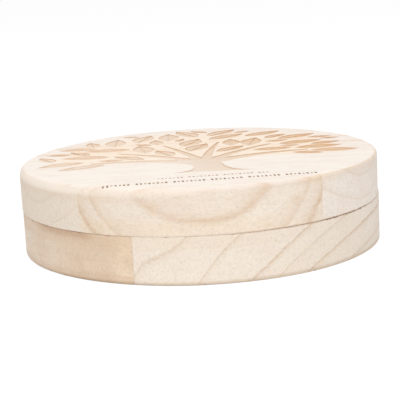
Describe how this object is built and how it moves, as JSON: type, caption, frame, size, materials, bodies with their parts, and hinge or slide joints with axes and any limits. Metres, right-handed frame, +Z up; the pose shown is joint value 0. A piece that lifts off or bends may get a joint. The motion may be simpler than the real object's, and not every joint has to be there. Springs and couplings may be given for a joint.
{
  "type": "tooth keepsake box",
  "caption": "Low round wooden box for keeping milk teeth, with a lift-off lid held by disc magnets, and a ring of tooth sockets round a central pocket.",
  "frame": {"origin": "centre of the underside of the base, on the surface that the box stands on", "axes": "+Z up, the way the lid lifts off; +X along the grain of the lid's boards; -Y is the front that the picture shows"},
  "size_m": [0.1206, 0.1206, 0.0293],
  "materials": {
    "pale_wood": "sanded bare softwood, matte, with wide growth rings",
    "tan_wood": "sanded bare softwood, matte, a shade darker",
    "nickel": "nickel plate, satin"
  },
  "bodies": {
    "base": {"base_left_board": "tan_wood", "base_right_board": "pale_wood", "base_magnet_1": "nickel", "base_magnet_2": "nickel", "base_magnet_3": "nickel", "base_magnet_4": "nickel"},
    "lid": {"lid_front_board": "pale_wood", "lid_middle_board": "pale_wood", "lid_back_board": "pale_wood", "lid_magnet_1": "nickel", "lid_magnet_2": "nickel", "lid_magnet_3": "nickel", "lid_magnet_4": "nickel"}
  },
  "joints": [
    {"name": "lid_lift", "type": "slide", "parent": "base", "child": "lid", "axis": [0, 0, 1], "range_m": [0, 0.06]}
  ]
}
